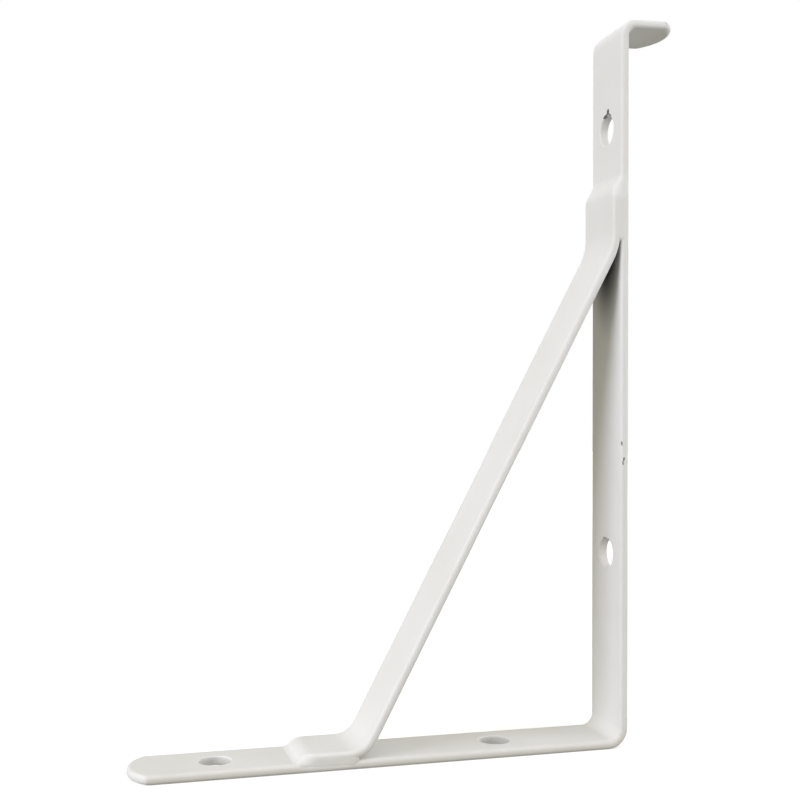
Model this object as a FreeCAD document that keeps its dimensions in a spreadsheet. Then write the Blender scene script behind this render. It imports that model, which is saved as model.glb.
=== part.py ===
"""Shelf bracket of flat steel: an angle bar with a turned-out lip, and a brace welded across its corner.

It stands on the outer face of its wall leg, as photographed. The wall leg lies along X with its tip
towards -X, the shelf leg rises along +Z, and the lip turns out towards +X. The strips are level across Y.
The origin is on the wall face, midway between the two wall holes. All sizes are millimetres.
"""
import FreeCAD, Part
import math
import os
import Sketcher
from FreeCAD import Vector

doc = FreeCAD.newDocument("shelf_bracket")

# Driving dimensions. Heights start at the wall face, reaches and lengths along X at the shelf face.
SIZES = {
    "bar_width": (20.4, "width of both strips, over the coat"),
    "bar_thickness": (2.6, "thickness of the angle bar"),
    "shelf_leg_height": (215.7, "wall face to the top of the lip, at its bend"),
    "wall_leg_length": (144.5, "shelf face to the tip of the wall leg"),
    "lip_length": (17.0, "shelf face to the tip of the lip"),
    "lip_rise": (0.75, "how far the lip climbs from the shelf face to its tip"),
    "corner_bend_radius": (3.5, "inside radius of the corner"),
    "lip_bend_radius": (2.4, "inside radius of the lip's bend"),
    "tip_radius": (13.3, "round ends of the angle bar, seen flat"),
    "tip_corner_radius": (1.5, "where a round end meets the sides"),
    "edge_radius": (1.15, "rolled edges of both strips, nearly half round"),
    "hole_diameter": (9.0, "screw holes"),
    "hole_rim_radius": (0.4, "rim of a hole on the side it was punched from"),
    "wall_hole_inset": (24.0, "tip of the wall leg to its first hole"),
    "wall_hole_spacing": (82.0, "between the two wall holes"),
    "shelf_hole_inset": (31.0, "top of the lip to the first shelf hole"),
    "shelf_hole_spacing": (128.0, "between the two shelf holes"),
    "brace_thickness": (2.5, "thickness of the brace"),
    "brace_height": (148.8, "height of the upper bend, on the foot's open face"),
    "brace_reach": (80.7, "reach of the lower bend, on the foot's open face"),
    "upper_bend_radius": (16.0, "inside radius of the gentle upper bend"),
    "lower_bend_radius": (6.6, "inside radius of the sharper lower bend"),
    "shelf_foot_length": (14.3, "upper bend to the end of the upper foot"),
    "wall_foot_length": (13.6, "lower bend to the end of the lower foot"),
    "shelf_weld_run": (6.4, "bead along the shelf leg, past the foot's end"),
    "wall_weld_run": (4.9, "bead along the wall leg, past the foot's end"),
    "shelf_weld_return": (13.4, "bead back along both sides of the upper foot"),
    "wall_weld_return": (12.6, "bead back along both sides of the lower foot"),
    "weld_inset": (0.15, "sides of the strips to the bead between them"),
    "shelf_weld_crown_radius": (12.0, "face of the upper bead, long and low"),
    "wall_weld_crown_radius": (6.5, "face of the lower bead, shorter and fuller"),
}

sheet = doc.addObject("Spreadsheet::Sheet", "Sizes")
for row, (alias, (number, meaning)) in enumerate(SIZES.items(), start=1):
    sheet.set(f"A{row}", alias)
    sheet.set(f"B{row}", str(number))
    sheet.set(f"C{row}", meaning)
    sheet.setAlias(f"B{row}", alias)
doc.recompute()

# Two places or lengths this near each other are the same.
TOLERANCE = 1e-4

# The numbers by which a sketch knows its own axes, and the points of a line or arc.
X_AXIS, Y_AXIS = range(-1, -3, -1)
START, END, CENTRE = range(1, 4)
ORIGIN = (X_AXIS, START)


def value(expression):
    """What an expression on the sheet comes to now."""
    return float(sheet.evalExpression(expression))


def check(feature):
    """Stop where a feature, sketch or body failed without saying so."""
    if "Invalid" in feature.State or "Error" in feature.State:
        raise RuntimeError(f"{feature.Label} is {feature.State}")
    if feature.Shape.isNull() or not feature.Shape.isValid():
        raise RuntimeError(f"{feature.Label} has no valid shape")


def new_body(label, reach="0", height="0"):
    """A body drawn from the outer corner of the angle bar, or from a point that far from it along X and Z."""
    body = doc.addObject("PartDesign::Body", label)
    body.Label = label
    shelf_face = "Sizes.wall_leg_length - Sizes.wall_hole_inset - Sizes.wall_hole_spacing / 2"
    body.setExpression("Placement.Base.x", f"{shelf_face} - ({reach})")
    body.setExpression("Placement.Base.z", height)
    return body


def new_sketch(body, name, plane):
    sketch = body.newObject("Sketcher::SketchObject", name)
    support = next(feature for feature in body.Origin.OriginFeatures if feature.Role == plane)
    sketch.AttachmentSupport = [(support, "")]
    sketch.MapMode = "FlatFace"
    return sketch


def add_lines(sketch, points, closed=True):
    """Lines from point to point, level or upright where the points are, and back to the first if closed."""
    ends = list(zip(points, points[1:] + points[:1])) if closed else list(zip(points, points[1:]))
    for start, end in ends:
        sketch.addGeometry(Part.LineSegment(Vector(*start, 0), Vector(*end, 0)))
    for line, (start, end) in enumerate(ends):
        following = (line + 1) % len(ends)
        if closed or following > line:
            sketch.addConstraint(Sketcher.Constraint("Coincident", line, END, following, START))
        if abs(start[0] - end[0]) < TOLERANCE:
            sketch.addConstraint(Sketcher.Constraint("Vertical", line))
        elif abs(start[1] - end[1]) < TOLERANCE:
            sketch.addConstraint(Sketcher.Constraint("Horizontal", line))


def dimension(sketch, kind, places, expression):
    """A driving dimension that follows the sheet."""
    index = sketch.addConstraint(Sketcher.Constraint(kind, *places, value(expression)))
    sketch.setExpression(f"Constraints[{index}]", expression)


def pad_across(body, sketch, name, width):
    """Give a side view its width, half to each side."""
    doc.recompute()
    pad = body.newObject("PartDesign::Pad", name)
    pad.Profile = sketch
    pad.Midplane = True
    pad.setExpression("Length", width)
    doc.recompute()
    check(pad)


def pocket_across(body, sketch, name, width=None):
    """Cut a sketch's outline out of the body, half of the width to each side, or right through it."""
    doc.recompute()
    before = body.Tip.Shape.Volume
    pocket = body.newObject("PartDesign::Pocket", name)
    pocket.Profile = sketch
    pocket.Type = "Length" if width else "ThroughAll"
    pocket.Midplane = True
    if width:
        pocket.setExpression("Length", width)
    doc.recompute()
    check(pocket)
    if pocket.Shape.Volume > before - TOLERANCE:
        raise RuntimeError(f"{name} cuts nothing")


def fillet(body, name, wanted, radius):
    """Round the edges of the body as it is now that the test picks."""
    base = body.Tip
    names = [f"Edge{number}" for number, edge in enumerate(base.Shape.Edges, start=1) if wanted(edge)]
    feature = body.newObject("PartDesign::Fillet", name)
    feature.Base = (base, names)
    feature.setExpression("Radius", radius)
    doc.recompute()
    check(feature)


def bend(body, name, corner, radius):
    """Round the edge that runs across the strip at one corner (x, z) of its side view."""
    corner_x, corner_z = corner

    def wanted(edge):
        box = edge.BoundBox
        off_corner = abs(box.XMin - corner_x) + abs(box.XMax - corner_x)
        off_corner += abs(box.ZMin - corner_z) + abs(box.ZMax - corner_z)
        return off_corner < TOLERANCE
    fillet(body, name, wanted, radius)


def runs_along_strip(edge, thickness):
    """True for the outline's long lines and arcs, not for lines across the strip or through its thickness."""
    if isinstance(edge.Curve, (Part.Circle, Part.Ellipse)):
        return True
    across = edge.BoundBox.YLength > TOLERANCE
    return not across and edge.Length > 2 * thickness


def round_tip(body, name, side, reach):
    """Trim the end of a level leg to its round end: side is -1 for the -X end and 1 for the +X end."""
    sketch = new_sketch(body, f"{name}_outline", "XY_Plane")
    reach_of_centre = f"{reach} - Sizes.tip_radius"
    centre = Vector(side * value(reach_of_centre), 0, 0)
    outer_radius = "Sizes.tip_radius + Sizes.bar_width / 2"
    first_angle = -side * math.pi / 2
    for radius in ["Sizes.tip_radius", outer_radius]:
        circle = Part.Circle(centre, Vector(0, 0, 1), value(radius))
        arc = sketch.addGeometry(Part.ArcOfCircle(circle, first_angle, first_angle + math.pi))
        dimension(sketch, "Radius", (arc,), radius)
    inner, outer = 0, 1
    for end in [START, END]:
        near, far = [sketch.getPoint(arc, end) for arc in (inner, outer)]
        line = sketch.addGeometry(Part.LineSegment(near, far))
        sketch.addConstraint(Sketcher.Constraint("Coincident", inner, end, line, START))
        sketch.addConstraint(Sketcher.Constraint("Coincident", outer, end, line, END))
        sketch.addConstraint(Sketcher.Constraint("Vertical", line))
        sketch.addConstraint(Sketcher.Constraint("Vertical", inner, end, inner, CENTRE))
    sketch.addConstraint(Sketcher.Constraint("Coincident", inner, CENTRE, outer, CENTRE))
    sketch.addConstraint(Sketcher.Constraint("PointOnObject", inner, CENTRE, X_AXIS))
    ends = (inner, CENTRE, *ORIGIN) if side < 0 else (*ORIGIN, inner, CENTRE)
    dimension(sketch, "DistanceX", ends, reach_of_centre)
    pocket_across(body, sketch, f"{name}_cut")


def punch_holes(body, name, plane, axis, direction, places):
    """Two holes in a leg, on its centre line, at the given distances from the corner."""
    sketch = new_sketch(body, f"{name}_outline", plane)
    for place in places:
        distance = value(place)
        centre = Vector(-distance, 0, 0) if axis == X_AXIS else Vector(0, distance, 0)
        circle = sketch.addGeometry(Part.Circle(centre, Vector(0, 0, 1), value("Sizes.hole_diameter / 2")))
        sketch.addConstraint(Sketcher.Constraint("PointOnObject", circle, CENTRE, axis))
        ends = (circle, CENTRE, *ORIGIN) if axis == X_AXIS else (*ORIGIN, circle, CENTRE)
        dimension(sketch, direction, ends, place)
        dimension(sketch, "Diameter", (circle,), "Sizes.hole_diameter")
    pocket_across(body, sketch, name)


def add_angle_bar():
    """One strip, bent up at the corner and out at the lip, round at both ends, with two holes in each leg."""
    body = new_body("angle_bar")
    thickness = value("Sizes.bar_thickness")
    height, length = value("Sizes.shelf_leg_height"), value("Sizes.wall_leg_length")
    lip, rise = value("Sizes.lip_length"), value("Sizes.lip_rise")
    slant = math.hypot(lip, rise)

    # The lip's top leaves the inner corner at the full height; its under side lies one thickness below.
    top_of_tip = height + (lip + thickness) * rise / lip
    under_root = height + thickness * (rise - slant) / lip
    profile = new_sketch(body, "angle_bar_profile", "XZ_Plane")
    wall_side, shelf_side, lip_under, _, top, inner_upright, _, leg_end = range(8)
    add_lines(profile, [(-length, 0), (0, 0), (0, under_root), (lip, under_root + rise), (lip, top_of_tip),
                        (-thickness, height), (-thickness, thickness), (-length, thickness)])
    profile.addConstraint(Sketcher.Constraint("Coincident", shelf_side, START, *ORIGIN))
    dimension(profile, "DistanceX", (wall_side, START, wall_side, END), "Sizes.wall_leg_length")
    profile.addConstraint(Sketcher.Constraint("Parallel", lip_under, top))
    dimension(profile, "DistanceX", (lip_under, START, lip_under, END), "Sizes.lip_length")
    dimension(profile, "DistanceY", (lip_under, START, lip_under, END), "Sizes.lip_rise")
    dimension(profile, "DistanceY", (*ORIGIN, top, END), "Sizes.shelf_leg_height")
    dimension(profile, "Distance", (lip_under, END, top), "Sizes.bar_thickness")
    dimension(profile, "DistanceX", (inner_upright, END, *ORIGIN), "Sizes.bar_thickness")
    dimension(profile, "DistanceY", (leg_end, END, leg_end, START), "Sizes.bar_thickness")
    pad_across(body, profile, "angle_bar_strip", "Sizes.bar_width")

    bend(body, "corner_inside", (-thickness, thickness), "Sizes.corner_bend_radius")
    bend(body, "corner_outside", (0, 0), "Sizes.corner_bend_radius + Sizes.bar_thickness")
    bend(body, "lip_inside", (0, under_root), "Sizes.lip_bend_radius")
    bend(body, "lip_outside", (-thickness, height), "Sizes.lip_bend_radius + Sizes.bar_thickness")

    round_tip(body, "wall_tip", -1, "Sizes.wall_leg_length")
    round_tip(body, "lip_tip", 1, "Sizes.lip_length")

    def is_tip_corner(edge):
        box = edge.BoundBox
        return max(box.XLength, box.YLength) < TOLERANCE and edge.Length < 2 * thickness
    fillet(body, "tip_corners", is_tip_corner, "Sizes.tip_corner_radius")
    fillet(body, "bar_edges", lambda edge: runs_along_strip(edge, thickness), "Sizes.edge_radius")

    first_wall_hole = "Sizes.wall_leg_length - Sizes.wall_hole_inset"
    first_shelf_hole = "Sizes.shelf_leg_height - Sizes.shelf_hole_inset"
    punch_holes(body, "wall_holes", "XY_Plane", X_AXIS, "DistanceX",
                [first_wall_hole, f"{first_wall_hole} - Sizes.wall_hole_spacing"])
    punch_holes(body, "shelf_holes", "YZ_Plane", Y_AXIS, "DistanceY",
                [first_shelf_hole, f"{first_shelf_hole} - Sizes.shelf_hole_spacing"])

    hole_radius = value("Sizes.hole_diameter / 2")

    def is_inner_rim(edge):
        curve = edge.Curve
        if not isinstance(curve, Part.Circle) or abs(curve.Radius - hole_radius) > TOLERANCE:
            return False
        on_wall_leg = abs(curve.Center.z - thickness) < TOLERANCE
        return on_wall_leg or abs(curve.Center.x + thickness) < TOLERANCE
    fillet(body, "hole_rims", is_inner_rim, "Sizes.hole_rim_radius")
    return body


def add_brace():
    """One strip across the corner, with a foot bent flat onto the inner face of each leg."""
    body = new_body("brace")
    bar, thickness = value("Sizes.bar_thickness"), value("Sizes.brace_thickness")
    height, reach = value("Sizes.brace_height"), value("Sizes.brace_reach")
    top, far = height + value("Sizes.shelf_foot_length"), reach + value("Sizes.wall_foot_length")
    open_face = bar + thickness

    # The strip's under side is its open side, moved one thickness towards the corner.
    slope = Vector(open_face - reach, open_face - height, 0).normalize()
    shift = Vector(-slope.y, slope.x, 0) * thickness
    on_under_side = Vector(-open_face, height, 0) + shift
    upper_z = on_under_side.y + slope.y * (-bar - on_under_side.x) / slope.x
    lower_x = on_under_side.x + slope.x * (bar - on_under_side.y) / slope.y

    profile = new_sketch(body, "brace_profile", "XZ_Plane")
    open_upper, open_side, open_lower, wall_end, under_lower, under_side, under_upper, shelf_end = range(8)
    add_lines(profile, [(-open_face, top), (-open_face, height), (-reach, open_face), (-far, open_face),
                        (-far, bar), (lower_x, bar), (-bar, upper_z), (-bar, top)])
    profile.addConstraint(Sketcher.Constraint("Parallel", open_side, under_side))
    dimension(profile, "Distance", (under_side, START, open_side), "Sizes.brace_thickness")
    dimension(profile, "DistanceX", (under_upper, START, *ORIGIN), "Sizes.bar_thickness")
    dimension(profile, "DistanceY", (*ORIGIN, under_lower, START), "Sizes.bar_thickness")
    dimension(profile, "DistanceX", (shelf_end, END, shelf_end, START), "Sizes.brace_thickness")
    dimension(profile, "DistanceY", (wall_end, END, wall_end, START), "Sizes.brace_thickness")
    dimension(profile, "DistanceY", (*ORIGIN, open_upper, END), "Sizes.brace_height")
    dimension(profile, "DistanceX", (open_lower, START, *ORIGIN), "Sizes.brace_reach")
    dimension(profile, "DistanceY", (open_upper, END, open_upper, START), "Sizes.shelf_foot_length")
    dimension(profile, "DistanceX", (open_lower, END, open_lower, START), "Sizes.wall_foot_length")
    pad_across(body, profile, "brace_strip", "Sizes.bar_width")

    bend(body, "upper_inside", (-open_face, height), "Sizes.upper_bend_radius")
    bend(body, "upper_outside", (-bar, upper_z), "Sizes.upper_bend_radius + Sizes.brace_thickness")
    bend(body, "lower_inside", (-reach, open_face), "Sizes.lower_bend_radius")
    bend(body, "lower_outside", (lower_x, bar), "Sizes.lower_bend_radius + Sizes.brace_thickness")
    fillet(body, "brace_edges", lambda edge: runs_along_strip(edge, thickness), "Sizes.edge_radius")
    return body


def trim(label, blank, neighbours):
    """What a blank leaves when the solids that it is laid against are taken out of it."""
    for neighbour in neighbours:
        cut = doc.addObject("Part::Cut", f"{label}_beside_{neighbour.Label}")
        cut.Base, cut.Tool = blank, neighbour
        doc.recompute()
        check(cut)
        blank = cut
    blank.Label = label
    return blank


def add_weld(label, strips, reach, height, on_wall_leg=False):
    """The bead round a foot: a sloping face past its end, and a filled groove back along both of its sides.

    It is drawn as on the shelf leg, from the inner corner at the foot's end, with the bare leg above. On the
    wall leg the same drawing lies along -X with its face upwards: half a turn about the line between.
    """
    body = new_body(f"{label}_blank", reach, height)
    if on_wall_leg:
        body.Placement.Rotation = FreeCAD.Rotation(Vector(1, 0, -1), 180)
    run, back, crown_radius = [f"Sizes.{label}_{size}" for size in ["run", "return", "crown_radius"]]
    past, behind, radius = value(run), value(back), value(crown_radius)
    thick, edge = value("Sizes.brace_thickness"), value("Sizes.edge_radius")
    toe, crest = Vector(0, past, 0), Vector(-thick, 0, 0)
    chord = toe - crest
    inward = Vector(chord.y, -chord.x, 0).normalize()
    crown_middle = (crest + toe) / 2 - inward * (radius - math.sqrt(radius ** 2 - (chord.Length / 2) ** 2))

    profile = new_sketch(body, f"{label}_profile", "XZ_Plane")
    leg_taper, leg_band, band_end, foot_band, foot_side = range(5)
    add_lines(profile, [(0, past), (edge, 0), (edge, -behind), (-edge, -behind), (-edge, 0), (-thick, 0)],
              closed=False)
    crown = profile.addGeometry(Part.Arc(crest, crown_middle, toe))
    starts_at_crest = profile.getPoint(crown, START).distanceToPoint(crest) < TOLERANCE
    at_crest, at_toe = (START, END) if starts_at_crest else (END, START)
    profile.addConstraint(Sketcher.Constraint("Coincident", foot_side, END, crown, at_crest))
    profile.addConstraint(Sketcher.Constraint("Coincident", leg_taper, START, crown, at_toe))
    profile.addConstraint(Sketcher.Constraint("PointOnObject", leg_taper, START, Y_AXIS))
    profile.addConstraint(Sketcher.Constraint("PointOnObject", leg_taper, END, X_AXIS))
    profile.addConstraint(Sketcher.Constraint("PointOnObject", foot_side, END, X_AXIS))
    dimension(profile, "DistanceY", (*ORIGIN, leg_taper, START), run)
    dimension(profile, "DistanceX", (*ORIGIN, leg_taper, END), "Sizes.edge_radius")
    dimension(profile, "DistanceY", (band_end, END, *ORIGIN), back)
    dimension(profile, "DistanceX", (band_end, END, *ORIGIN), "Sizes.edge_radius")
    dimension(profile, "DistanceX", (foot_side, END, *ORIGIN), "Sizes.brace_thickness")
    dimension(profile, "Radius", (crown,), crown_radius)
    pad_across(body, profile, f"{label}_block", "Sizes.bar_width - 2 * Sizes.weld_inset")

    def is_crown_end(found):
        return isinstance(found.Curve, Part.Circle) and abs(found.Curve.Radius - radius) < TOLERANCE
    fillet(body, f"{label}_crown_ends", is_crown_end, "Sizes.edge_radius")

    # Between the strips' flat faces there is no groove to fill, so there the bead stops at the leg's face.
    middle = new_sketch(body, f"{label}_middle", "XZ_Plane")
    foot_under, _, foot_front, leg_front, leg_top, _ = range(6)
    add_lines(middle, [(edge, -behind), (-edge, -behind), (-edge, 0), (0, 0), (0, past), (edge, past)])
    middle.addConstraint(Sketcher.Constraint("Coincident", foot_front, END, *ORIGIN))
    dimension(middle, "DistanceX", (foot_front, START, *ORIGIN), "Sizes.edge_radius")
    dimension(middle, "DistanceY", (foot_under, END, *ORIGIN), back)
    dimension(middle, "DistanceY", (*ORIGIN, leg_front, END), run)
    dimension(middle, "DistanceX", (*ORIGIN, leg_top, END), "Sizes.edge_radius")
    pocket_across(body, middle, f"{label}_clear_of_flats", "Sizes.bar_width - 2 * Sizes.edge_radius")
    return trim(label, body, strips)


strips = [add_angle_bar(), add_brace()]
shelf_foot_end = "Sizes.brace_height + Sizes.shelf_foot_length"
wall_foot_end = "Sizes.brace_reach + Sizes.wall_foot_length"
welds = [add_weld("shelf_weld", strips, "Sizes.bar_thickness", shelf_foot_end),
         add_weld("wall_weld", strips, wall_foot_end, "Sizes.bar_thickness", on_wall_leg=True)]

doc.recompute()
for item in doc.Objects:
    if "Invalid" in item.State or "Error" in item.State:
        raise RuntimeError(f"{item.Label} is {item.State}")
os.makedirs("parts", exist_ok=True)
for part in strips + welds:
    check(part)
    shape = part.Shape
    shape.exportStep(f"parts/{part.Label}.step")
    print(f"{part.Label}: {shape.Volume:.1f} mm3, {len(shape.Solids)} solid, {len(shape.Faces)} faces")
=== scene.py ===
# %% [markdown]
# # A shelf bracket in white enamel
# The bracket is two lengths of flat steel strip, bent, welded together and then coated with an off-white
# enamel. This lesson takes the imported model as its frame. It makes the two welds again as soft, melted
# shapes, gives the coat its material with a few chips, and sets up a plain studio around it.

# %% Load the frame
import math

import bmesh
import bpy
from mathutils import Matrix, Vector, noise


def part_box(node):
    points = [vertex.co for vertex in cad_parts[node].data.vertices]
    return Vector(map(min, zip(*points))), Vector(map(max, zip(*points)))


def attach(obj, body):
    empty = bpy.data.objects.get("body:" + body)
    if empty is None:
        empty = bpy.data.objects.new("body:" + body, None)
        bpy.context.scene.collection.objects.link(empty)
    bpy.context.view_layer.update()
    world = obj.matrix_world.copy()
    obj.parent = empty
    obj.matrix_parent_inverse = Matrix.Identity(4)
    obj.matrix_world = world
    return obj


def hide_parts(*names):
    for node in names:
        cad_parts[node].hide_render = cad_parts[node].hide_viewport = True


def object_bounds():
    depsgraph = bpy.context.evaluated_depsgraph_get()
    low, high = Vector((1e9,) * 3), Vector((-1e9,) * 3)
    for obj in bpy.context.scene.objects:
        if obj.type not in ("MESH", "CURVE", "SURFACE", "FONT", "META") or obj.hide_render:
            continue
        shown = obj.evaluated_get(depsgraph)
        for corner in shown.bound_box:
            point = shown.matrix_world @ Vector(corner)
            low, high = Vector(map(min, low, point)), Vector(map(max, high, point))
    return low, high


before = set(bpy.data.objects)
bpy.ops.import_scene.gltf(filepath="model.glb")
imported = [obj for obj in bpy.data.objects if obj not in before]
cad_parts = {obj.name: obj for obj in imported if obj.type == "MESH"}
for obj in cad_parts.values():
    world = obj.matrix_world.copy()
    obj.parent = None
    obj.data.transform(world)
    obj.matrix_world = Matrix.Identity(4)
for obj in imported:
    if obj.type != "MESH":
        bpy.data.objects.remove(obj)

MM = 0.001

cad_low, cad_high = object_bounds()
print("nodes:", sorted(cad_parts))
print("size in mm:", [round(side / MM, 1) for side in cad_high - cad_low])

# %% [markdown]
# Sizes below are millimetres, as on a drawing, and Blender works in metres. The places that new pieces
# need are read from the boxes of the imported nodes, so they follow the model if its sizes change. The brace
# lies flat on the inner faces of both legs, so its box gives both of those faces and the ends of its feet,
# which is where the welds are.

# %% Read the places of the legs, feet and welds
brace_low, brace_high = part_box("brace")
shelf_weld_low, shelf_weld_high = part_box("shelf_weld")
wall_weld_low, wall_weld_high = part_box("wall_weld")

HALF_WIDTH = brace_high.y / MM
SHELF_LEG_INNER = brace_high.x / MM
WALL_LEG_INNER = brace_low.z / MM
THICKNESS = WALL_LEG_INNER - cad_low.z / MM
SHELF_FOOT_END = brace_high.z / MM
WALL_FOOT_END = brace_low.x / MM
print("the strip is", round(2 * HALF_WIDTH, 2), "mm wide and", round(THICKNESS, 2), "mm thick")
print("inner faces in mm: X", round(SHELF_LEG_INNER, 2), "Z", round(WALL_LEG_INNER, 2))

# %% [markdown]
# ## The welds
# Where a foot ends, the welder ran a bead across the strip and a little way back along both sides. Under
# paint it no longer shows ripples: it is one soft slope from the foot down to the leg, which wraps round
# the edges of the strip and fills the groove beside the foot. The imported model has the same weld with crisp
# edges. A bevel could soften each edge, but the slope also has to run out into the flat strips without a
# line. So the rough shape is built with bmesh operators, with ends that dip just under the strips, and a
# voxel remesh and some smoothing then melt it into one skin.

# %% Start the rough shape: a sloping block that laps onto the foot and the leg
LAP = 1.8            # how far it runs on over the foot and the leg
LAP_DIP = 0.12       # how far it is under their faces at the end of that
PROUD = 0.05         # how far it stands over them where the slope begins and ends
SIDE_DEPTH = 1.3     # how far it reaches down the sides of the leg


def sloping_block(bm, run, rise, crest):
    """Along X from the foot's end to the bare leg, and upwards in Z off the leg's face."""
    section = [(-LAP, rise - LAP_DIP), (0, rise + PROUD), (crest, rise + PROUD), (run, PROUD),
               (run + LAP, -LAP_DIP), (run + LAP, -SIDE_DEPTH), (-LAP, -SIDE_DEPTH)]
    profile = bm.faces.new([bm.verts.new((x, -HALF_WIDTH, z)) for x, z in section])
    swept = bmesh.ops.extrude_face_region(bm, geom=[profile])
    moved = [item for item in swept["geom"] if isinstance(item, bmesh.types.BMVert)]
    bmesh.ops.translate(bm, verts=moved, vec=(0, 2 * HALF_WIDTH, 0))
    bmesh.ops.recalc_face_normals(bm, faces=bm.faces)


# %% [markdown]
# The strips have nearly half-round edges, so the block gets the same rounding along its two sides. Its
# crest and its toe are rounded more, which turns the straight slope into a soft S. The crest lies a little
# past the foot's end, so the end's sharp edge is buried in the bead.

# %% Round the block
EDGE_RADIUS = 1.15
EDGE_SEGMENTS = 5
SLOPE_SEGMENTS = 4
SIDE_NARROWING = 0.10     # at its two ends the block is this much inside the sides of the strips
SAME_PLACE = 0.01         # places nearer than this count as one


def round_block(bm, run, rise, crest, crest_radius, toe_radius):
    def along_side(edge):
        first, second = edge.verts
        upper = min(first.co.z, second.co.z) > -SIDE_DEPTH / 2
        return edge.is_manifold and upper and abs(first.co.y - second.co.y) < SAME_PLACE

    def across_at(edge, x, z):
        return all((vert.co.xz - Vector((x, z))).length < SAME_PLACE for vert in edge.verts)

    sides = [edge for edge in bm.edges if along_side(edge)]
    bmesh.ops.bevel(bm, geom=sides, offset=EDGE_RADIUS, segments=EDGE_SEGMENTS, profile=0.5,
                    affect="EDGES", material=-1)
    for x, z, radius in [(crest, rise + PROUD, crest_radius), (run, PROUD, toe_radius)]:
        across = [edge for edge in bm.edges if across_at(edge, x, z)]
        bmesh.ops.bevel(bm, geom=across, offset=radius, segments=SLOPE_SEGMENTS, profile=0.5,
                        affect="EDGES", material=-1)
    for vert in bm.verts:
        if vert.co.x < -LAP / 2 or vert.co.x > run + LAP / 2:
            vert.co.y -= math.copysign(SIDE_NARROWING, vert.co.y)


# %% [markdown]
# Beside the foot the groove is filled flush, from the side of the foot to the side of the leg. Two slim
# bars do that, one on each side. Each has a tip extruded from its end, where the weld stops and the brace
# begins to bend away from the leg.

# %% Add the bars beside the foot
BAR_DEPTH = 1.2
BAR_LOW, BAR_HIGH = -1.5, 1.75    # from the leg's face
BAR_PROUD = 0.04          # over the sides of the strips, which the smoothing takes back
BAR_TIP = 1.2
BAR_TIP_SHARE = 0.3       # the tip's section ends at this share of the bar's


def side_bars(bm, back):
    size = (back - BAR_TIP, BAR_DEPTH, BAR_HIGH - BAR_LOW)
    for side in (-1, 1):
        middle_y = side * (HALF_WIDTH + BAR_PROUD - BAR_DEPTH / 2)
        middle = Vector(((BAR_TIP - back) / 2, middle_y, (BAR_HIGH + BAR_LOW) / 2))
        bar = bmesh.ops.create_cube(bm, size=1)["verts"]
        bmesh.ops.scale(bm, verts=bar, vec=size)
        bmesh.ops.translate(bm, verts=bar, vec=middle)
        faces = [face for face in bm.faces if set(face.verts) <= set(bar)]
        end = min(faces, key=lambda face: face.calc_center_median().x)
        tip = bmesh.ops.extrude_discrete_faces(bm, faces=[end])["faces"][0]
        bmesh.ops.translate(bm, verts=tip.verts, vec=(-BAR_TIP, 0, 0))
        bmesh.ops.scale(bm, verts=tip.verts, vec=(1, BAR_TIP_SHARE, BAR_TIP_SHARE),
                        space=Matrix.Translation(-tip.calc_center_median()))


# %% [markdown]
# The remesh gives the shape an even skin of small squares. Past the foot's end the bead's sides lean in
# towards its crest, since molten metal doesn't stand up straight. Smoothing rounds whatever is still crisp.
# A slow noise then moves the skin a little in and out, because no hand lays a bead quite straight.

# %% Melt the rough shape into one skin
SKIN_CELL = 0.25
LEAN_START, LEAN_LENGTH = 0.3, 2.4      # past the foot's end, so that the end stays buried
SMOOTHING_STEPS = 9
SMOOTHING_FACTOR = 0.5
WOBBLE = 0.05
WOBBLE_LENGTH = 3.5


def lean_in(bm, rise, lean):
    """Move the sides in by lean at the crest, and less below it."""
    for vert in bm.verts:
        past_foot = min(max((vert.co.x - LEAN_START) / LEAN_LENGTH, 0), 1)
        height = max(vert.co.z, 0) / rise
        vert.co.y *= 1 - lean / HALF_WIDTH * past_foot * height


def melt(rough, name, rise, lean):
    piece = bpy.data.objects.new(name, rough)
    bpy.context.scene.collection.objects.link(piece)
    remesh = piece.modifiers.new("even_skin", "REMESH")
    remesh.mode = "VOXEL"
    remesh.voxel_size = SKIN_CELL
    graph = bpy.context.evaluated_depsgraph_get()
    skin = bpy.data.meshes.new_from_object(piece.evaluated_get(graph))
    piece.modifiers.clear()
    piece.data = skin
    bm = bmesh.new()
    bm.from_mesh(skin)
    lean_in(bm, rise, lean)
    for _ in range(SMOOTHING_STEPS):
        bmesh.ops.smooth_vert(bm, verts=bm.verts, factor=SMOOTHING_FACTOR,
                              use_axis_x=True, use_axis_y=True, use_axis_z=True)
    bm.normal_update()
    for vert in bm.verts:
        vert.co += vert.normal * noise.noise(vert.co / WOBBLE_LENGTH) * WOBBLE
    bmesh.ops.recalc_face_normals(bm, faces=bm.faces)
    bm.to_mesh(skin)
    bm.free()
    skin.shade_smooth()
    return piece


# %% [markdown]
# Each weld is made lying along X at the origin, in millimetres, and its vertices are then turned, moved and
# scaled to their place. The object itself stays at the origin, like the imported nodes.

# %% Put the steps together
def weld(name, corner, along, off, run, rise, back, crest, crest_radius, toe_radius, lean):
    """The foot ends at corner. From there along points to the bare leg, and off points away from it."""
    bm = bmesh.new()
    sloping_block(bm, run, rise, crest)
    round_block(bm, run, rise, crest, crest_radius, toe_radius)
    side_bars(bm, back)
    rough = bpy.data.meshes.new(name)
    bm.to_mesh(rough)
    bm.free()
    piece = melt(rough, name, rise, lean)
    across = off.cross(along)
    to_place = Matrix((along, across, off)).transposed().to_4x4()
    to_place.translation = corner
    piece.data.transform(Matrix.Scale(MM, 4) @ to_place)
    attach(piece, "root")
    print(name, "runs", round(run, 2), "mm past the foot and", round(back, 2), "mm back beside it")
    print(name, "has", len(piece.data.polygons), "faces")
    return piece


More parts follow.
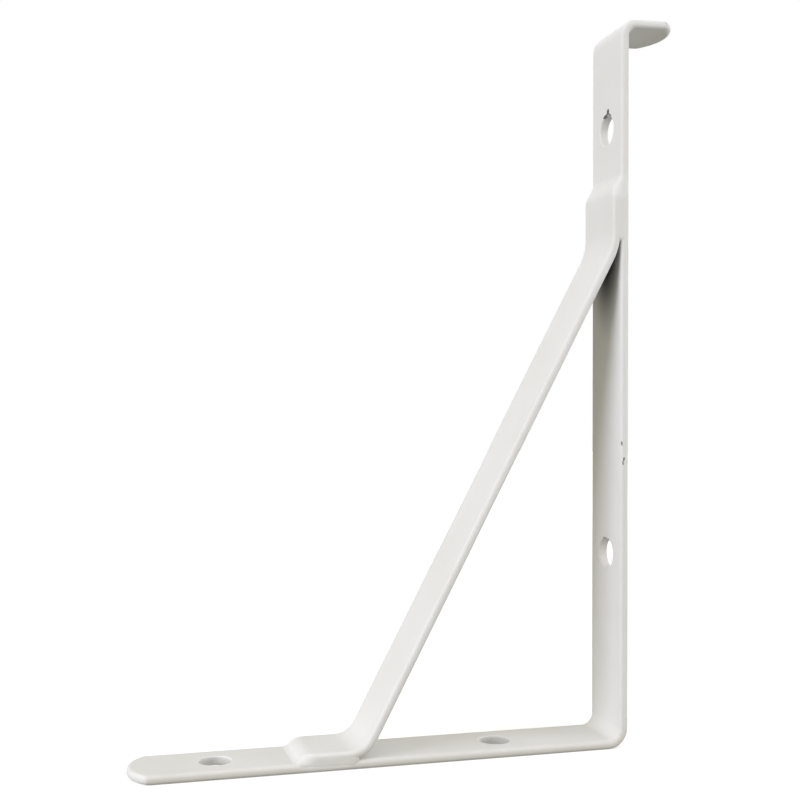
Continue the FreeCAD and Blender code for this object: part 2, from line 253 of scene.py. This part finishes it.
# %% [markdown]
# The imported welds give how far each bead runs past its foot, how high it stands and how far it wraps back.
# Where its crest lies, how round it is and how far its sides lean in are judged. The lower bead has the
# longer, softer crest.

# %% Make both welds
TOE_FADE = 0.7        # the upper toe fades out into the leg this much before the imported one

shelf_bead = weld("shelf_bead", corner=Vector((SHELF_LEG_INNER, 0, SHELF_FOOT_END)),
                  along=Vector((0, 0, 1)), off=Vector((-1, 0, 0)),
                  run=shelf_weld_high.z / MM - SHELF_FOOT_END - TOE_FADE,
                  rise=SHELF_LEG_INNER - shelf_weld_low.x / MM,
                  back=SHELF_FOOT_END - shelf_weld_low.z / MM,
                  crest=1.9, crest_radius=1.5, toe_radius=1.6, lean=1.2)
wall_bead = weld("wall_bead", corner=Vector((WALL_FOOT_END, 0, WALL_LEG_INNER)),
                 along=Vector((-1, 0, 0)), off=Vector((0, 0, 1)),
                 run=WALL_FOOT_END - wall_weld_low.x / MM,
                 rise=wall_weld_high.z / MM - WALL_LEG_INNER,
                 back=wall_weld_high.x / MM - WALL_FOOT_END,
                 crest=2.9, crest_radius=2.4, toe_radius=2.0, lean=1.6)
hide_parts("shelf_weld")
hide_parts("wall_weld")

# %% [markdown]
# ## Material helpers
# Colours are written as on a paint chart and turned to the linear values that the renderer adds up. Nodes
# are added by one function, which links what is a socket and sets what is a plain value. Inputs are given
# by name or by number: a Map Range reads its value at 0 and turns the range from 1 to 2 into 3 to 4, and a
# colour Mix has its share at 0, its colours at 6 and 7 and its result at output 2.

# %% Helpers for colours and nodes
def linear(hex_code):
    """An sRGB colour such as #E4E4E0 as a linear colour with full alpha."""
    channels = [int(hex_code[start:start + 2], 16) / 255 for start in (1, 3, 5)]
    return [c / 12.92 if c <= 0.04045 else ((c + 0.055) / 1.055) ** 2.4 for c in channels] + [1]


def add(tree, kind, inputs=(), **settings):
    """Add a node. Settings are its properties; inputs are values or sockets to link, by name or number."""
    node = tree.nodes.new(f"ShaderNode{kind}")
    for name, setting in settings.items():
        setattr(node, name, setting)
    for key, given in dict(inputs).items():
        if isinstance(given, bpy.types.NodeSocket):
            tree.links.new(given, node.inputs[key])
        else:
            node.inputs[key].default_value = given
    return node


def per(millimetres):
    """The texture scale at which one wave or cell is that long."""
    return 1 / (millimetres * MM)


# %% Helpers for whole materials
def new_material(name):
    material = bpy.data.materials.new(name)
    material.use_nodes = True
    material.node_tree.nodes.clear()
    return material, material.node_tree


def dress(piece, material):
    piece.data.materials.clear()
    piece.data.materials.append(material)


# %% [markdown]
# ## The enamel
# The coat is a stoved enamel: sprayed on the finished bracket and baked, which gives a satin, slightly
# uneven skin. It could be one colour with one roughness, but the eye knows sprayed paint by four small
# things. There is orange peel, a faint dimpling about a millimetre and a half across. There are the faint
# lines that rolling left along the strip. The tone drifts a little, because the coat isn't equally thick
# everywhere. Here and there a speck of dust was baked in. Each is a texture on Object coordinates.

# %% Set the enamel's colours
COAT = linear("#E6E6E5")
COAT_DEEPER = linear("#E2E2DF")     # where the coat lies thicker
COAT_THIN_AND_SHADE = linear("#D2D1C6")       # over the edges: partly where the coat drew back, partly painted shade that dulls their highlights
COAT_ROUGHNESS = 0.55
COAT_SPECULAR = 0.5
COAT_IOR = 1.5
print("enamel roughness", COAT_ROUGHNESS)


# %% [markdown]
# Three of the four things are relief. Their heights are added up in millimetres, so they can be compared
# with each other and with the thickness of a coat. The rolling lines are a noise that is stretched along
# the strip, and the specks are what lies next to the middle of each cell of a Voronoi texture.

# %% Orange peel, rolling lines and dust
PEEL_SIZE, PEEL_HEIGHT = 1.5, 0.022
LINE_WIDTH, LINE_HEIGHT = 0.8, 0.010
LINE_STRETCH = 0.03         # the lines are only this share as busy along the strip as across it
DUST_SPACING, DUST_HEIGHT = 9, 0.03
DUST_RADIUS = 0.035         # as a share of the spacing


def skin_height(tree, place):
    """The height of the coat, in millimetres, from three textures."""
    peel = add(tree, "TexNoise", {"Vector": place, "Scale": per(PEEL_SIZE), "Detail": 1.5})
    peel = add(tree, "Math", {0: peel.outputs["Fac"], 1: PEEL_HEIGHT}, operation="MULTIPLY")
    along = add(tree, "Mapping", {"Vector": place, "Scale": (LINE_STRETCH, 1, LINE_STRETCH)})
    lines = add(tree, "TexNoise", {"Vector": along.outputs[0], "Scale": per(LINE_WIDTH), "Detail": 2.0})
    lines = add(tree, "Math", {0: lines.outputs["Fac"], 1: LINE_HEIGHT}, operation="MULTIPLY")
    dust = add(tree, "TexVoronoi", {"Vector": place, "Scale": per(DUST_SPACING)})
    dust = add(tree, "MapRange", {0: dust.outputs["Distance"], 1: 0.0, 2: DUST_RADIUS,
                                  3: DUST_HEIGHT, 4: 0.0}, interpolation_type="SMOOTHSTEP")
    height = add(tree, "Math", {0: peel.outputs[0], 1: lines.outputs[0]}, operation="ADD")
    return add(tree, "Math", {0: height.outputs[0], 1: dust.outputs[0]}, operation="ADD").outputs[0]


# %% [markdown]
# Some finishes depend on where the surface is, not on which way it runs. A region is a stretched and turned
# sphere in space: a Mapping node of the Texture kind brings it back to a plain sphere round the origin, so
# the distance from there says how deep inside a point is.

# %% A region in space
def region(tree, place, middle, half_sizes, turn=(0, 0, 0), start=1.15, full=0.85, most=1.0):
    """1 (or most) inside a stretched sphere and 0 outside, with a soft edge."""
    local = add(tree, "Mapping", {"Vector": place, "Location": Vector(middle) * MM,
                                  "Scale": Vector(half_sizes) * MM,
                                  "Rotation": [math.radians(angle) for angle in turn]},
                vector_type="TEXTURE")
    radius = add(tree, "VectorMath", {0: local.outputs[0]}, operation="LENGTH")
    return add(tree, "MapRange", {0: radius.outputs["Value"], 1: start, 2: full, 4: most},
               interpolation_type="SMOOTHSTEP").outputs[0]


# %% [markdown]
# The edges of the strips are darkened. In part that is the coat drawing back from them, and in part it is
# painted shade that dulls their highlights; low on the wall leg, by the floor, it is mostly painted shade.
# How far across the strip a point lies says how near it is to an edge, and a noise makes that limit ragged.
# On the beads the coat pooled, so the darkening is left off: wholly on the upper one, and in part on the
# lower one and beside its foot.

# %% Darken the edges: thin coat and painted shade
THIN_SHARE, THIN_AND_SHADE_SHARE_LOW = 0.26, 0.75      # how dark the edges get, on most edges and on the wall leg's low ones, where it is mostly painted shade
THIN_LOW_UP_TO = 3 * WALL_LEG_INNER          # higher than this the edges are like most others
RAGGED_LENGTH, RAGGED_REACH = 5, 0.4
# Each bead: its middle, its half sizes, and how much of the edge darkening it takes away there.
BEADS = [((SHELF_LEG_INNER - 1, 0, SHELF_FOOT_END + 3.2), (6, 16, 4.6), 1.0),
         ((WALL_FOOT_END + 2.8, 0, WALL_LEG_INNER + 1), (9.5, 16, 6), 0.45)]


def thin_coat_and_shade(tree, place, up):
    """How dark the edges get: partly steel showing through a thin coat, partly painted shade."""
    ragged = add(tree, "TexNoise", {"Vector": place, "Scale": per(RAGGED_LENGTH), "Detail": 2.0})
    ragged = add(tree, "MapRange", {0: ragged.outputs["Fac"], 3: RAGGED_REACH * MM, 4: -RAGGED_REACH * MM})
    across = add(tree, "SeparateXYZ", {0: place}).outputs["Y"]
    across = add(tree, "Math", {0: across}, operation="ABSOLUTE").outputs[0]
    across = add(tree, "Math", {0: across, 1: ragged.outputs[0]}, operation="ADD").outputs[0]
    edge = add(tree, "MapRange", {0: across, 1: (HALF_WIDTH - EDGE_RADIUS) * MM, 2: HALF_WIDTH * MM},
               interpolation_type="SMOOTHSTEP").outputs[0]
    # Low on the wall leg, by the floor, the darkening is mostly painted shade.
    share = add(tree, "MapRange", {0: up, 1: THIN_LOW_UP_TO * MM, 2: WALL_LEG_INNER * MM,
                                   3: THIN_SHARE, 4: THIN_AND_SHADE_SHARE_LOW},
                interpolation_type="SMOOTHSTEP").outputs[0]
    edge_darkening = add(tree, "Math", {0: edge, 1: share}, operation="MULTIPLY").outputs[0]
    for middle, half_sizes, hidden in BEADS:
        bead = region(tree, place, middle, half_sizes, most=hidden)
        beside = add(tree, "Math", {0: 1.0, 1: bead}, operation="SUBTRACT").outputs[0]
        edge_darkening = add(tree, "Math", {0: edge_darkening, 1: beside}, operation="MULTIPLY").outputs[0]
    return edge_darkening


# %% [markdown]
# Under the brace's upper bend the brace shades the leg, and that shade is painted in: the colour turns near
# black and the gloss is taken away. That place is a region round the gap's tip, cut off just above the tip.
# Both strips pass through it, so the normal picks the side of each that faces into the gap.

# %% Paint the shade into the narrow gap
GAP_TIP = (SHELF_LEG_INNER, 0, shelf_weld_low.z / MM)
GAP_REACH = (9, 11.5, 31)
# Painted shade: a near-black colour that stands for the brace's shadow in the narrow gap.
GAP_PAINTED_SHADE = linear("#2A2823")
# Heights over the gap's tip: no shade is painted above the first, and it may be painted in full below the
# second.
NO_SHADE_ABOVE, FULL_SHADE_BELOW = 3, 1
FACING_FROM, FACING_FULL = 0.5, 0.8     # how much of the normal points into the gap


def painted_shade_in_gap(tree, place, up, gap_side):
    """1 where the shade in the gap is painted in full. gap_side is the sign of X on the side that faces the
    gap.
    """
    facing = add(tree, "SeparateXYZ", {0: add(tree, "TexCoord").outputs["Normal"]}).outputs["X"]
    facing = add(tree, "MapRange", {0: facing, 1: FACING_FROM * gap_side, 2: FACING_FULL * gap_side},
                 interpolation_type="SMOOTHSTEP").outputs[0]
    below = add(tree, "MapRange", {0: up, 1: (GAP_TIP[2] + NO_SHADE_ABOVE) * MM,
                                   2: (GAP_TIP[2] + FULL_SHADE_BELOW) * MM}).outputs[0]
    gap = region(tree, place, GAP_TIP, GAP_REACH, start=1.0, full=0.15)
    gap = add(tree, "Math", {0: gap, 1: facing}, operation="MULTIPLY").outputs[0]
    return add(tree, "Math", {0: gap, 1: below}, operation="MULTIPLY").outputs[0]


# %% [markdown]
# The colour starts from the drifting tone. The edge darkening, partly thin coat and partly painted shade, is
# mixed over it, and then the painted shade in the gap.

# %% Colour of the coat
DRIFT_LENGTH = 22
DRIFT_LOW, DRIFT_HIGH = 0.35, 0.65      # the part of the noise that makes the whole change of tone


def skin_colour(tree, place, up, gap):
    drift = add(tree, "TexNoise", {"Vector": place, "Scale": per(DRIFT_LENGTH), "Detail": 3.0})
    drift = add(tree, "MapRange", {0: drift.outputs["Fac"], 1: DRIFT_LOW, 2: DRIFT_HIGH})
    tone = add(tree, "Mix", {0: drift.outputs[0], 6: COAT, 7: COAT_DEEPER}, data_type="RGBA").outputs[2]
    edge_darkening = thin_coat_and_shade(tree, place, up)
    # The edges darken towards a colour that is partly thin coat and partly painted shade.
    colour = add(tree, "Mix", {0: edge_darkening, 6: tone, 7: COAT_THIN_AND_SHADE}, data_type="RGBA").outputs[2]
    # The painted shade in the gap goes over everything else.
    return add(tree, "Mix", {0: gap, 6: colour, 7: GAP_PAINTED_SHADE}, data_type="RGBA").outputs[2]


# %% [markdown]
# ## The chips
# The shelf leg has lost a few flakes of its coat: three slivers on its near edge, a little below halfway
# up, and a forked one at the rim of the top hole, where a screw head levered it off. The rim of the hole
# below, a spot beside the slivers and the edge of the lip are only scuffed. The steel in the chips is dark
# with oxide. Cutting them into the mesh would be a lot of work for marks of half a millimetre, so each one
# is a small turned ellipsoid in space. Wherever the surface passes through it, the coat is gone. A fine
# noise frays its outline.

# %% Place the chips
# Each mark: its place across, its height above the floor, half its width, half its height, its turn in
# degrees, and how bare it is. At the rims it lies on the leg's inner face, and across is measured along Y
# from the middle of the strip. On the edge it lies on the near side, and across is measured along X from
# the leg's outer face.
RIM_CHIPS = [(-0.95, 190.2, 0.75, 0.95, 4, 0.9),
             (0.65, 189.4, 1.8, 0.40, -14, 0.85),
             (-2.15, 189.05, 1.15, 0.38, 30, 0.75)]
RIM_SCUFFS = [(0.5, 61.0, 1.5, 0.5, 0, 0.5),
              (-2.1, 60.7, 0.8, 0.45, 20, 0.45)]
EDGE_CHIPS = [(-2.27, 90.1, 0.20, 0.75, -6, 0.8),
              (-1.70, 85.35, 0.24, 0.62, 12, 0.85),
              (-1.95, 84.2, 0.20, 0.65, -8, 0.75)]
EDGE_SCUFFS = [(-0.36, 84.5, 0.20, 0.50, 0, 0.3),
               (12.15, 215.1, 0.25, 0.95, -45, 0.35)]
CHIP_DEPTH = 0.9       # half the length of the ellipsoid through the surface
SHELF_LEG_OUTER = SHELF_LEG_INNER + THICKNESS

patches = []
for across, up, half_width, half_height, turn, bareness in RIM_CHIPS + RIM_SCUFFS:
    middle = (SHELF_LEG_INNER, across, up)
    patches.append((middle, (CHIP_DEPTH, half_width, half_height), (turn, 0, 0), bareness))
for across, up, half_width, half_height, turn, bareness in EDGE_CHIPS + EDGE_SCUFFS:
    middle = (SHELF_LEG_OUTER + across, -HALF_WIDTH, up)
    patches.append((middle, (half_width, CHIP_DEPTH, half_height), (0, turn, 0), bareness))
print(len(patches), "chips and scuffs")

# %% Knock the coat off inside the ellipsoids
BARE_STEEL = linear("#2A2825")
BARE_ROUGHNESS = 0.7
CHIP_FRAY = 0.45            # how far the noise moves a chip's outline
CHIP_FRAY_LENGTH = 0.7
CHIP_RECESS = 0.06          # thickness of the coat
NOISE_MIDDLE = (0.5, 0.5, 0.5)


def knock_off(tree, place, colour, height, bare_patches):
    """Colour, height, roughness and metal of the coat once the patches are off it."""
    fray = add(tree, "TexNoise", {"Vector": place, "Scale": per(CHIP_FRAY_LENGTH), "Detail": 3.0})
    fray = add(tree, "VectorMath", {0: fray.outputs["Color"], 1: NOISE_MIDDLE}, operation="SUBTRACT")
    fray = add(tree, "VectorMath", {0: fray.outputs[0], 3: CHIP_FRAY * MM}, operation="SCALE")
    frayed = add(tree, "VectorMath", {0: place, 1: fray.outputs[0]}, operation="ADD").outputs[0]
    bare = 0.0
    for middle, half_sizes, turn, bareness in bare_patches:
        inside = region(tree, frayed, middle, half_sizes, turn, most=bareness)
        bare = add(tree, "Math", {0: bare, 1: inside}, operation="MAXIMUM").outputs[0]
    colour = add(tree, "Mix", {0: bare, 6: colour, 7: BARE_STEEL}, data_type="RGBA").outputs[2]
    recess = add(tree, "Math", {0: bare, 1: -CHIP_RECESS}, operation="MULTIPLY")
    height = add(tree, "Math", {0: height, 1: recess.outputs[0]}, operation="ADD").outputs[0]
    roughness = add(tree, "MapRange", {0: bare, 3: COAT_ROUGHNESS, 4: BARE_ROUGHNESS}).outputs[0]
    return colour, height, roughness, bare


# %% [markdown]
# Colour, relief, roughness and gloss now meet in one shader. The angle bar has the chips, and its inner
# side faces the gap with -X. The brace and the beads have none, and face it with +X.

# %% The enamel on the strips
def enamel(name, gap_side, bare_patches=()):
    """The coat, with patches knocked off it where a list of them is given."""
    material, tree = new_material(name)
    place = add(tree, "TexCoord").outputs["Object"]
    up = add(tree, "SeparateXYZ", {0: place}).outputs["Z"]
    gap = painted_shade_in_gap(tree, place, up, gap_side)
    colour = skin_colour(tree, place, up, gap)
    height = skin_height(tree, place)
    # The painted shade in the gap also takes the gloss away there.
    gloss = add(tree, "MapRange", {0: gap, 3: COAT_SPECULAR, 4: 0.0}).outputs[0]
    roughness, metal = COAT_ROUGHNESS, 0.0
    if bare_patches:
        colour, height, roughness, metal = knock_off(tree, place, colour, height, bare_patches)
    bump = add(tree, "Bump", {"Height": height, "Distance": MM, "Strength": 1.0})
    shader = add(tree, "BsdfPrincipled", {"Base Color": colour, "Roughness": roughness, "Metallic": metal,
                                          "IOR": COAT_IOR, "Specular IOR Level": gloss,
                                          "Normal": bump.outputs["Normal"]})
    add(tree, "OutputMaterial", {"Surface": shader.outputs["BSDF"]})
    return material


# %% Dress the bracket
strip_enamel = enamel("satin_enamel_sprayed_on_strip", 1)
chipped_enamel = enamel("satin_enamel_sprayed_on_strip_with_chips", -1, patches)
dress(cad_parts["angle_bar"], chipped_enamel)
for node in ("brace", "shelf_weld", "wall_weld"):
    dress(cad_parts[node], strip_enamel)
for bead in (shelf_bead, wall_bead):
    dress(bead, strip_enamel)
print("the chipped enamel has", len(chipped_enamel.node_tree.nodes), "nodes")

# %% [markdown]
# ## The studio
# The bracket stands on a plain pale floor in front of plain white. To the camera and in reflections both
# are white, as in the photograph. What they add to the light on the bracket is set apart: a dim, slightly
# warm share from all round and from below, so that its shaded faces keep their tone.

# %% Add the floor
FLOOR_SIZE = 6000

floor_mesh = bpy.data.meshes.new("floor")
bm = bmesh.new()
bmesh.ops.create_grid(bm, x_segments=1, y_segments=1, size=FLOOR_SIZE / 2 * MM)
bmesh.ops.translate(bm, verts=bm.verts, vec=Vector((0, 0, cad_low.z)))
bm.to_mesh(floor_mesh)
bm.free()
floor = bpy.data.objects.new("floor", floor_mesh)
bpy.context.scene.collection.objects.link(floor)
print("floor height in mm:", round(cad_low.z / MM, 3))

# %% [markdown]
# The floor is matt. To the eye it also glows a little, less at the bracket, where its shadow has to show,
# and enough from a metre away to be as white as the background.

# %% Finish the floor
FLOOR_SEEN = linear("#DCDCDC")
FLOOR_SENT = linear("#78776C")      # what it sends back up onto the bracket
LIFT_NEAR, LIFT_FAR = 0.56, 1.0     # how much it glows to the eye, near the bracket and far off
NEAR, FAR = 300, 1000

floor_finish, tree = new_material("pale_studio_floor")
path = add(tree, "LightPath")
tone = add(tree, "Mix", {0: path.outputs["Is Diffuse Ray"], 6: FLOOR_SEEN, 7: FLOOR_SENT}, data_type="RGBA")
matt = add(tree, "BsdfDiffuse", {"Color": tone.outputs[2]})
seen = add(tree, "Math", {0: path.outputs["Is Camera Ray"], 1: path.outputs["Is Glossy Ray"]},
           operation="MAXIMUM")
distance = add(tree, "VectorMath", {0: add(tree, "TexCoord").outputs["Object"]}, operation="LENGTH")
lift = add(tree, "MapRange", {0: distance.outputs["Value"], 1: NEAR * MM, 2: FAR * MM,
                              3: LIFT_NEAR, 4: LIFT_FAR}, interpolation_type="SMOOTHSTEP")
lift = add(tree, "Math", {0: seen.outputs[0], 1: lift.outputs[0]}, operation="MULTIPLY")
glow = add(tree, "Emission", {"Strength": lift.outputs[0]})
both = add(tree, "AddShader", {0: matt.outputs[0], 1: glow.outputs[0]})
add(tree, "OutputMaterial", {"Surface": both.outputs[0]})
dress(floor, floor_finish)
print("the floor glows by", LIFT_NEAR, "near the bracket and by", LIFT_FAR, "far off")

# %% [markdown]
# The surround does the same with two backgrounds: a plain white one for the camera and for what is
# reflected or seen through, and a dim warm one for the light that falls on the bracket.

# %% Light the surround
SURROUND_LIGHT = linear("#FFF8D0")
SURROUND_STRENGTH = 0.46
WHITE = (1, 1, 1, 1)

world = bpy.data.worlds.new("white_surround")
world.use_nodes = True
world.node_tree.nodes.clear()
bpy.context.scene.world = world
tree = world.node_tree
path = add(tree, "LightPath")
seen = add(tree, "Math", {0: path.outputs["Is Camera Ray"], 1: path.outputs["Is Glossy Ray"]},
           operation="MAXIMUM")
seen = add(tree, "Math", {0: seen.outputs[0], 1: path.outputs["Is Transmission Ray"]}, operation="MAXIMUM")
ambient = add(tree, "Background", {"Color": SURROUND_LIGHT, "Strength": SURROUND_STRENGTH})
white = add(tree, "Background", {"Color": WHITE, "Strength": 1.0})
choice = add(tree, "MixShader", {0: seen.outputs[0], 1: ambient.outputs[0], 2: white.outputs[0]})
add(tree, "OutputWorld", {"Surface": choice.outputs[0]})
print("light from all round:", SURROUND_STRENGTH)

# %% [markdown]
# Five softboxes light the bracket. The main one stands on the left and a little to the front, where the
# brace keeps it off the leg behind it. One is low on the right, one in front, high enough to reach into the
# holes, and two are above. They are slightly cool, the upper two more so, so that with the warm surround a
# face that gets both comes out neutral. Each is given by the share of a plain exposure that it adds to a
# face turned straight to it, so the shares can be judged against each other.

# %% Add the softboxes
AIM = Vector((20, 0, 100)) * MM
SIDE_COLOUR = linear("#F0F1FF")
TOP_COLOUR = linear("#E0E3FF")


def softbox(name, place, size, share, colour):
    """Its power grows with the square of its distance, so the share doesn't depend on where it stands."""
    place = Vector(place) * MM
    lamp = bpy.data.lights.new(name, "AREA")
    lamp.shape = "SQUARE"
    lamp.size = size * MM
    lamp.color = colour[:3]
    distance = (place - AIM).length
    lamp.energy = share * math.pi ** 2 * distance ** 2
    holder = bpy.data.objects.new(name, lamp)
    holder.location = place
    holder.rotation_euler = (place - AIM).to_track_quat("Z", "Y").to_euler()
    holder.visible_camera = False
    bpy.context.scene.collection.objects.link(holder)
    print(name, "stands", round(distance, 2), "m away at", round(lamp.energy, 1), "W")


softbox("left_softbox", (-1250, -430, 270), 600, 0.72, SIDE_COLOUR)
softbox("right_softbox", (1200, -600, 70), 500, 0.68, SIDE_COLOUR)
softbox("front_softbox", (-50, -1050, 600), 600, 0.13, SIDE_COLOUR)
softbox("top_softbox", (330, -430, 1200), 800, 0.30, TOP_COLOUR)
softbox("top_left_softbox", (-650, -200, 1150), 700, 0.12, TOP_COLOUR)

# %% [markdown]
# ## The camera
# It stands close in front of the brace and a little to its left, level and at mid-height, with the lens
# shifted slightly so that the bracket sits in the frame as in the photograph. Its place, its turns, the
# focal length and the shift were fitted together to the outline of the bracket in the photograph.

# %% Place the camera
PICTURE_SIZE = 800          # pixels, both ways
SENSOR_WIDTH = 36
CAMERA_PLACE = (-81.8, -324.9, 96.87)
CAMERA_YAW = 15.416         # degrees to the right of straight along +Y
CAMERA_PITCH = 0.189        # degrees upwards
CAMERA_ROLL = 0.156
FOCAL_PIXELS = 1171.7
CENTRE_PIXEL = (386.27, 415.87)
CLIP_START = 10             # nothing of the bracket is nearer to the lens

camera_data = bpy.data.cameras.new("camera")
camera_data.sensor_width = SENSOR_WIDTH
camera_data.lens = FOCAL_PIXELS * SENSOR_WIDTH / PICTURE_SIZE
camera_data.shift_x = (PICTURE_SIZE / 2 - CENTRE_PIXEL[0]) / PICTURE_SIZE
camera_data.shift_y = (CENTRE_PIXEL[1] - PICTURE_SIZE / 2) / PICTURE_SIZE
camera_data.clip_start = CLIP_START * MM
camera = bpy.data.objects.new("camera", camera_data)
yaw = Matrix.Rotation(math.radians(-CAMERA_YAW), 4, "Z")
pitch = Matrix.Rotation(math.radians(90 + CAMERA_PITCH), 4, "X")
roll = Matrix.Rotation(math.radians(CAMERA_ROLL), 4, "Z")
camera.matrix_world = Matrix.Translation(Vector(CAMERA_PLACE) * MM) @ yaw @ pitch @ roll
bpy.context.scene.collection.objects.link(camera)
bpy.context.scene.camera = camera
bpy.context.scene.view_settings.view_transform = "Standard"
print("lens in mm:", round(camera_data.lens, 2))
